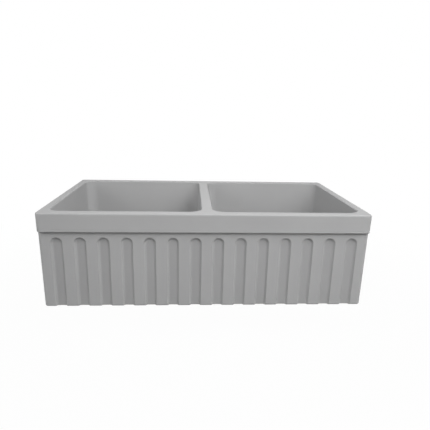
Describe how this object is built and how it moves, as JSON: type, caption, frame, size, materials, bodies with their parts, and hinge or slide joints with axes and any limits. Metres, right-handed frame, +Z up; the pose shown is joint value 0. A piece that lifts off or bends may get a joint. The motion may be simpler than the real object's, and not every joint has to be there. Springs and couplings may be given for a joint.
{
  "type": "farmhouse apron front sink",
  "caption": "Double-bowl fireclay farmhouse sink with a fluted apron under a plain lip, and a lift-out basket strainer over a tailpiece in each bowl.",
  "frame": {"origin": "centre of the flat underside of the fireclay body, in line with the middle of the divider", "axes": "+Z up; +X to the right of someone facing the fluted apron, which looks along -Y"},
  "size_m": [0.8378, 0.4568, 0.356],
  "materials": {
    "fireclay": "matte",
    "stainless_steel": "satin",
    "basket_steel": "satin",
    "post_steel": "satin",
    "spring_steel": "satin",
    "knob_chrome": "polished",
    "chromed_brass": "polished",
    "cast_nut_metal": "satin",
    "rubber": "matte",
    "fibre": "matte",
    "nylon": "matte",
    "putty": "matte"
  },
  "bodies": {
    "sink": {"sink_body": "fireclay", "left_strainer_body": "stainless_steel", "left_flange_seal": "putty", "left_sink_gasket": "rubber", "left_friction_washer": "fibre", "left_lock_nut": "cast_nut_metal", "left_tailpiece_washer": "nylon", "left_tailpiece": "chromed_brass", "left_coupling_nut": "chromed_brass", "right_strainer_body": "stainless_steel", "right_flange_seal": "putty", "right_sink_gasket": "rubber", "right_friction_washer": "fibre", "right_lock_nut": "cast_nut_metal", "right_tailpiece_washer": "nylon", "right_tailpiece": "chromed_brass", "right_coupling_nut": "chromed_brass"},
    "left_basket": {"left_basket_cup": "basket_steel"},
    "left_stopper": {"left_stopper_post": "post_steel", "left_stopper_seal": "rubber", "left_seal_retainer": "post_steel", "left_post_clip": "spring_steel", "left_stopper_knob": "knob_chrome"},
    "right_basket": {"right_basket_cup": "basket_steel"},
    "right_stopper": {"right_stopper_post": "post_steel", "right_stopper_seal": "rubber", "right_seal_retainer": "post_steel", "right_post_clip": "spring_steel", "right_stopper_knob": "knob_chrome"}
  },
  "joints": [
    {"name": "left_basket_lift", "type": "slide", "parent": "sink", "child": "left_basket", "axis": [0, 0, 1], "range_m": [0, 0.085]},
    {"name": "left_stopper_pull", "type": "slide", "parent": "left_basket", "child": "left_stopper", "axis": [0, 0, 1], "range_m": [0, 0.008]},
    {"name": "right_basket_lift", "type": "slide", "parent": "sink", "child": "right_basket", "axis": [0, 0, 1], "range_m": [0, 0.085]},
    {"name": "right_stopper_pull", "type": "slide", "parent": "right_basket", "child": "right_stopper", "axis": [0, 0, 1], "range_m": [0, 0.008]}
  ]
}
